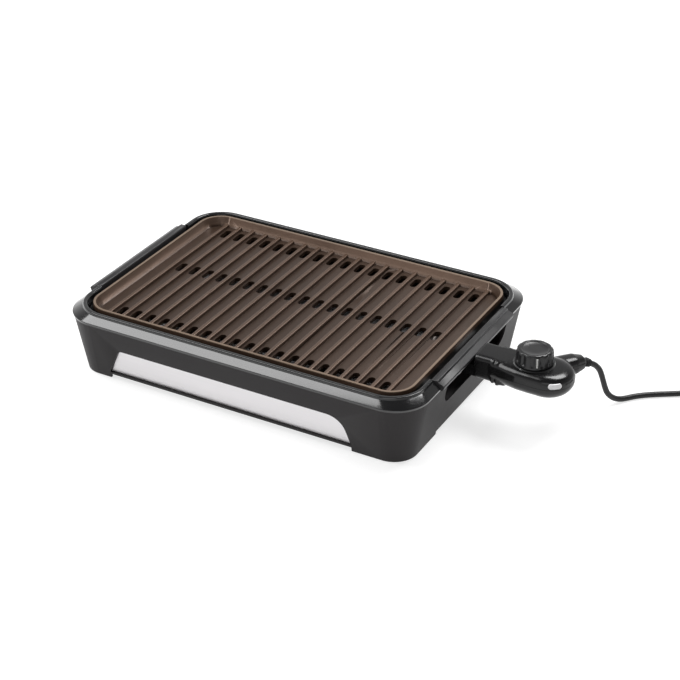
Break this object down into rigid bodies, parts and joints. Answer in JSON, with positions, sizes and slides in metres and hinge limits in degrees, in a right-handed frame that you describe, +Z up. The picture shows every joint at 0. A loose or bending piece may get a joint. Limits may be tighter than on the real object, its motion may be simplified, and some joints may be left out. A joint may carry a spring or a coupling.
{
  "type": "electric table grill",
  "caption": "Open electric table grill: ribbed plate with carrying bars over a drip tray in a moulded base, heated by a plug-in control with a knob and a mains cord.",
  "frame": {"origin": "centre of the underside of the box round grill and control, on the surface the rubber feet stand on", "axes": "+X along the grill's width towards its control, +Y from the front panel to the back, +Z up"},
  "size_m": [0.813, 0.349, 0.1033],
  "materials": {
    "base_plastic": "satin, charcoal",
    "gloss_black": "polished, black",
    "silver_panel": "fine brushed, silver",
    "steel_parts": "plain",
    "feet_rubber": "matt",
    "tray_metal": "plain sheet",
    "coated_plate": "cast, dark bronze non-stick coat",
    "bar_plastic": "satin, black",
    "heater_tube": "dull, heat-darkened",
    "ceramic": "unglazed, off-white",
    "control_plastic": "satin, black",
    "contact_brass": "plain",
    "lens": "milky, clear gloss",
    "lamp": "small glow lamp",
    "knob_plastic": "satin, black",
    "pointer_white": "white",
    "cord_rubber": "satin sheath, black",
    "plug_plastic": "satin, black"
  },
  "bodies": {
    "base": {"base_shell": "base_plastic", "front_bezel": "gloss_black", "rear_bezel": "gloss_black", "bezel_screws": "steel_parts", "front_panel": "silver_panel", "panel_clips": "steel_parts", "rubber_feet": "feet_rubber"},
    "tray": {"drip_tray": "tray_metal"},
    "plate": {"cooking_plate": "coated_plate", "handle_left": "bar_plastic", "handle_right": "bar_plastic", "handle_screws": "steel_parts", "heating_element": "heater_tube", "element_clamps": "steel_parts", "clamp_screws": "steel_parts", "terminal_block": "ceramic", "terminal_pins": "steel_parts", "socket_shroud": "steel_parts", "shroud_screws": "steel_parts"},
    "control": {"control_top_case": "control_plastic", "control_bottom_case": "control_plastic", "control_nose": "control_plastic", "contact_sleeves": "contact_brass", "sensor_probe": "steel_parts", "thermostat": "ceramic", "case_screws": "steel_parts", "dial_ring": "control_plastic", "indicator_lens": "lens", "indicator_lamp": "lamp", "cord_clamp": "control_plastic", "strain_relief": "cord_rubber", "cord_lead": "cord_rubber", "cord_coil": "cord_rubber", "cord_tie": "cord_rubber", "cord_tail": "cord_rubber", "plug_body": "plug_plastic", "plug_pins": "steel_parts"},
    "knob": {"control_knob": "knob_plastic", "knob_pointer": "pointer_white", "knob_shaft": "steel_parts"}
  },
  "joints": [
    {"name": "plate_lift", "type": "slide", "parent": "base", "child": "plate", "axis": [0, 0, 1], "range_m": [0, 0.2]},
    {"name": "tray_lift", "type": "slide", "parent": "base", "child": "tray", "axis": [0, 0, 1], "range_m": [0, 0.1]},
    {"name": "control_pull", "type": "slide", "parent": "plate", "child": "control", "axis": [1, 0, 0], "range_m": [0, 0.12]},
    {"name": "knob_turn", "type": "hinge", "parent": "control", "child": "knob", "pos_m": [0.2535, 0, 0.1], "axis": [0, 0, 1], "range_deg": [0, 270]}
  ],
  "couplings": [
    {"joint": "tray_lift", "follows": "plate_lift", "ratio": 0.5}
  ]
}
